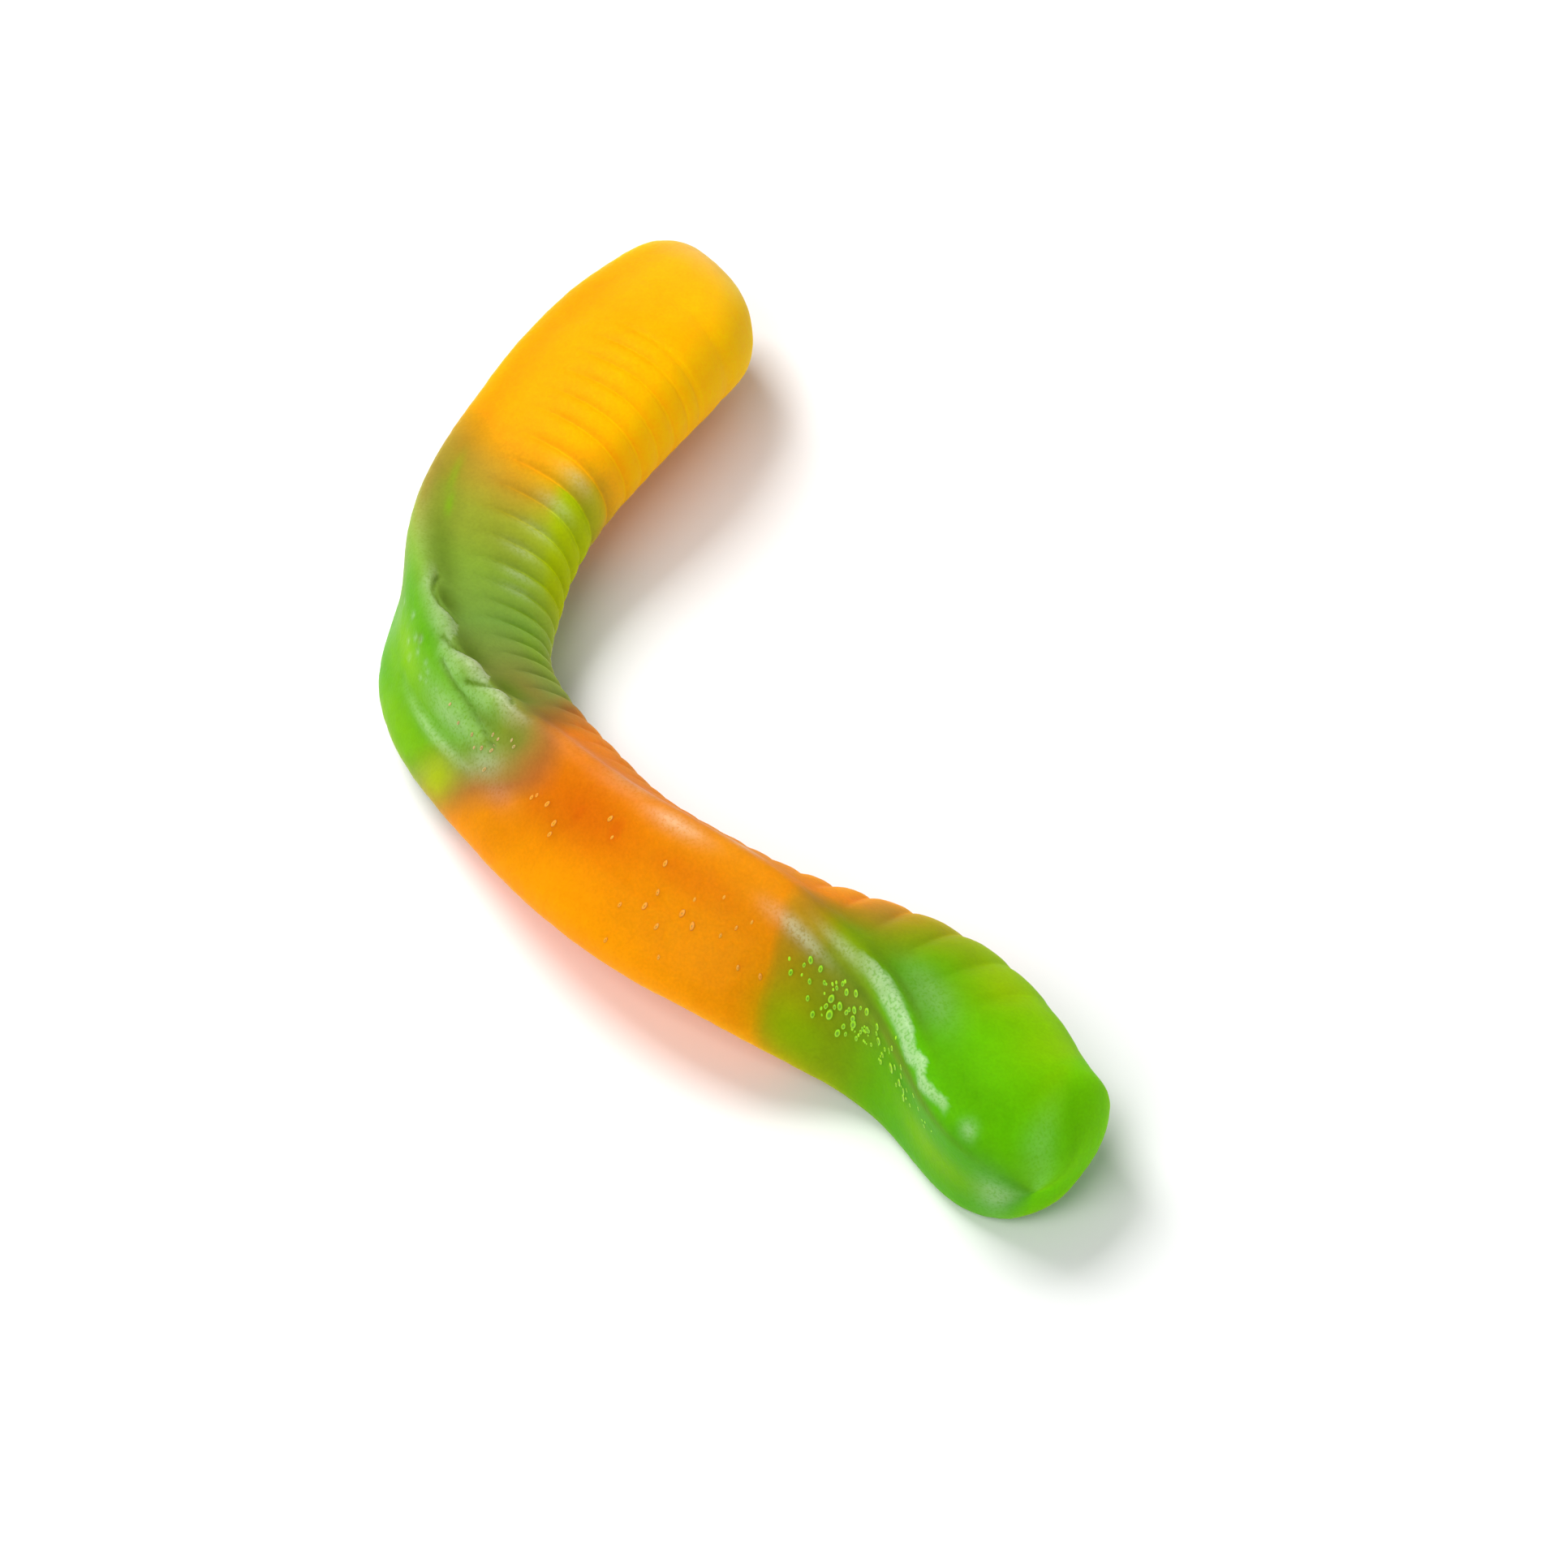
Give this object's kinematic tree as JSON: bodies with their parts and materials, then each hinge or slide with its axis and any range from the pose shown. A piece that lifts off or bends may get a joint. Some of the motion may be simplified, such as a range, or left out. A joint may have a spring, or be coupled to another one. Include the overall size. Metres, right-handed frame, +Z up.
{
  "type": "gummy worm",
  "caption": "Ridged jelly candy worm lying on its side in a loose S bend, banded yellow, green, orange and green.",
  "frame": {"origin": "middle of the bounding box in X and Y, on the surface the worm lies on", "axes": "+Z up from that surface, +Y towards the yellow end, +X towards the ridged side of the bend"},
  "size_m": [0.043, 0.072, 0.0118],
  "materials": {
    "jelly": "satin fruit jelly, translucent, in soft bands of yellow, green, orange and green"
  },
  "bodies": {
    "root": {"gummy_worm": "jelly"}
  },
  "joints": []
}
